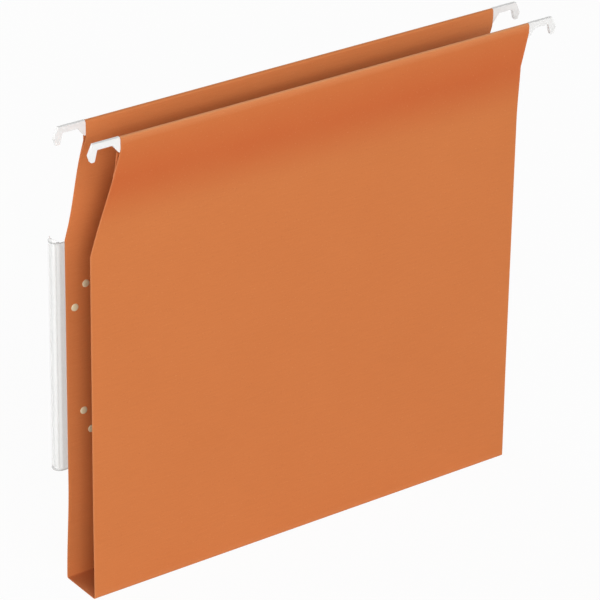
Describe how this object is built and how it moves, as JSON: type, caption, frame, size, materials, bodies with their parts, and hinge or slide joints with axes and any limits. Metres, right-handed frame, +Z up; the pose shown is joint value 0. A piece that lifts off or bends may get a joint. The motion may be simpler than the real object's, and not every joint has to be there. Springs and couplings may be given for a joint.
{
  "type": "hanging file folder",
  "caption": "Lateral hanging file of orange kraft with a flat base, white rail hooks and a clear label holder on the rear panel.",
  "frame": {"origin": "middle of the base's underside", "axes": "+X along the rails to the right, +Y to the rear panel, +Z up"},
  "size_m": [0.3595, 0.0402, 0.312],
  "materials": {
    "kraft": "matte",
    "steel": "satin",
    "hook_plastic": "satin",
    "clear_plastic": "gloss",
    "white_card": "matte",
    "rivet_plastic": "satin"
  },
  "bodies": {
    "base": {"base_panel": "kraft"},
    "front": {"front_panel": "kraft", "front_rail": "steel", "front_left_hook": "hook_plastic", "front_right_hook": "hook_plastic"},
    "rear": {"rear_panel": "kraft", "rear_rail": "steel", "rear_left_hook": "hook_plastic", "rear_right_hook": "hook_plastic", "label_holder": "clear_plastic", "holder_rivets": "rivet_plastic"},
    "label": {"label_card": "white_card"}
  },
  "joints": [
    {"name": "front_fold", "type": "hinge", "parent": "base", "child": "front", "pos_m": [0, -0.016, 0], "axis": [1, 0, 0], "range_deg": [-2.5, 88]},
    {"name": "rear_fold", "type": "hinge", "parent": "base", "child": "rear", "pos_m": [0, 0.016, 0], "axis": [-1, 0, 0], "range_deg": [-2.5, 80]},
    {"name": "label_slide", "type": "slide", "parent": "rear", "child": "label", "axis": [0, 0, 1], "range_m": [0, 0.16]}
  ]
}
